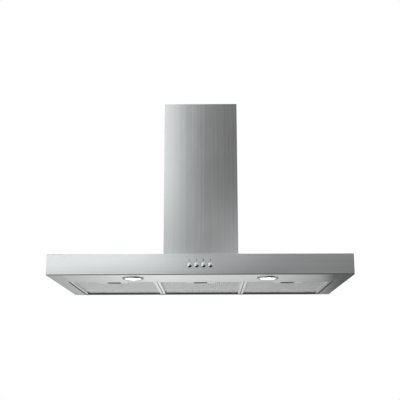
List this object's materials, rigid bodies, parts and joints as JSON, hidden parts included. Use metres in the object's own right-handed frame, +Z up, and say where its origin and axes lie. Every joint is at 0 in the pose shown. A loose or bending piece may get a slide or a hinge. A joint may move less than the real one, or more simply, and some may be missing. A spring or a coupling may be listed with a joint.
{
  "type": "wall mount range hood",
  "caption": "Wall mount range hood: slim brushed steel box canopy, telescopic square chimney, push buttons, round lamps and drop-down mesh filters under a centrifugal blower.",
  "frame": {"origin": "on the wall plane, at the middle of the canopy's lower rear edge", "axes": "+X to the right as seen from the front, +Y into the wall, +Z up; the front panel faces -Y"},
  "size_m": [0.898, 0.505, 0.628],
  "materials": {
    "stainless": "brushed stainless sheet",
    "stainless_front": "brushed along the width",
    "stainless_under": "brushed along the width",
    "stainless_chimney": "brushed along the height",
    "galvanised": "zinc coated sheet with a faint spangle",
    "chrome": "polished",
    "bezel": "satin",
    "bright_steel": "ground steel",
    "screw_steel": "zinc plated",
    "motor_steel": "semi matt grey paint",
    "filter_rim": "folded aluminium sheet",
    "filter_mesh": "layers of expanded mesh",
    "latch_cup": "moulded grey plastic",
    "latch_bolt": "moulded dark plastic",
    "black_plastic": "fine moulded texture",
    "impeller_plastic": "moulded",
    "flap_plastic": "moulded",
    "box_plastic": "moulded",
    "switch_plastic": "moulded",
    "white_plastic": "moulded",
    "rubber": "matt",
    "frosted_glass": "frosted, lit from behind",
    "lamp_glow": "lit reflector"
  },
  "bodies": {
    "canopy": {"canopy_shell": "stainless", "front_panel": "stainless_front", "lamp_panel": "stainless_under", "hinge_rail": "galvanised", "button_frame": "black_plastic", "switch_block": "switch_plastic", "lamp_bezel_left": "bezel", "lamp_bezel_right": "bezel", "lamp_glass_left": "frosted_glass", "lamp_glass_right": "frosted_glass", "lamp_housing_left": "galvanised", "lamp_housing_right": "galvanised", "lamp_bulb_left": "lamp_glow", "lamp_bulb_right": "lamp_glow", "lamp_transformer": "white_plastic", "blower_casing": "galvanised", "scroll_left": "black_plastic", "scroll_right": "black_plastic", "motor": "motor_steel", "motor_bracket": "galvanised", "motor_grommets": "rubber", "outlet_collar": "black_plastic", "flap_pin": "bright_steel", "terminal_box": "box_plastic", "cable_gland": "black_plastic", "capacitor": "white_plastic", "wall_hook_left": "galvanised", "wall_hook_right": "galvanised", "lower_chimney": "stainless_chimney", "casing_screws": "screw_steel", "chimney_screws": "screw_steel"},
    "button_1": {"button_1": "chrome"},
    "button_2": {"button_2": "chrome"},
    "button_3": {"button_3": "chrome"},
    "button_4": {"button_4": "chrome"},
    "filter_left": {"filter_frame_left": "filter_rim", "filter_mesh_left": "filter_mesh", "latch_cup_left": "latch_cup"},
    "filter_centre": {"filter_frame_centre": "filter_rim", "filter_mesh_centre": "filter_mesh", "latch_cup_centre": "latch_cup"},
    "filter_right": {"filter_frame_right": "filter_rim", "filter_mesh_right": "filter_mesh", "latch_cup_right": "latch_cup"},
    "latch_left": {"latch_bolt_left": "latch_bolt"},
    "latch_centre": {"latch_bolt_centre": "latch_bolt"},
    "latch_right": {"latch_bolt_right": "latch_bolt"},
    "impeller": {"impeller": "impeller_plastic", "motor_shaft": "bright_steel"},
    "flap_front": {"flap_front": "flap_plastic"},
    "flap_rear": {"flap_rear": "flap_plastic"},
    "upper_chimney": {"upper_chimney": "stainless_chimney", "upper_bracket": "galvanised", "bracket_screws": "screw_steel"}
  },
  "joints": [
    {"name": "button_1_press", "type": "slide", "parent": "canopy", "child": "button_1", "axis": [0, 1, 0], "range_m": [0, 0.0035], "stiffness_N_per_m": 400},
    {"name": "button_2_press", "type": "slide", "parent": "canopy", "child": "button_2", "axis": [0, 1, 0], "range_m": [0, 0.0035], "stiffness_N_per_m": 400},
    {"name": "button_3_press", "type": "slide", "parent": "canopy", "child": "button_3", "axis": [0, 1, 0], "range_m": [0, 0.0035], "stiffness_N_per_m": 400},
    {"name": "button_4_press", "type": "slide", "parent": "canopy", "child": "button_4", "axis": [0, 1, 0], "range_m": [0, 0.0035], "stiffness_N_per_m": 400},
    {"name": "filter_left_swing", "type": "hinge", "parent": "canopy", "child": "filter_left", "pos_m": [-0.271, -0.01, 0.006], "axis": [1, 0, 0], "range_deg": [0, 75]},
    {"name": "filter_centre_swing", "type": "hinge", "parent": "canopy", "child": "filter_centre", "pos_m": [0, -0.01, 0.006], "axis": [1, 0, 0], "range_deg": [0, 75]},
    {"name": "filter_right_swing", "type": "hinge", "parent": "canopy", "child": "filter_right", "pos_m": [0.271, -0.01, 0.006], "axis": [1, 0, 0], "range_deg": [0, 75]},
    {"name": "latch_left_slide", "type": "slide", "parent": "filter_left", "child": "latch_left", "axis": [0, 1, 0], "range_m": [-0.006, 0]},
    {"name": "latch_centre_slide", "type": "slide", "parent": "filter_centre", "child": "latch_centre", "axis": [0, 1, 0], "range_m": [-0.006, 0]},
    {"name": "latch_right_slide", "type": "slide", "parent": "filter_right", "child": "latch_right", "axis": [0, 1, 0], "range_m": [-0.006, 0]},
    {"name": "impeller_spin", "type": "hinge", "parent": "canopy", "child": "impeller", "pos_m": [0, -0.144, 0.162], "axis": [1, 0, 0], "continuous": true},
    {"name": "flap_front_swing", "type": "hinge", "parent": "canopy", "child": "flap_front", "pos_m": [0, -0.08671, 0.293], "axis": [-1, 0, 0], "range_deg": [0, 80]},
    {"name": "flap_rear_swing", "type": "hinge", "parent": "canopy", "child": "flap_rear", "pos_m": [0, -0.08671, 0.293], "axis": [1, 0, 0], "range_deg": [0, 80]},
    {"name": "chimney_slide", "type": "slide", "parent": "canopy", "child": "upper_chimney", "axis": [0, 0, 1], "range_m": [0, 0.37]}
  ]
}
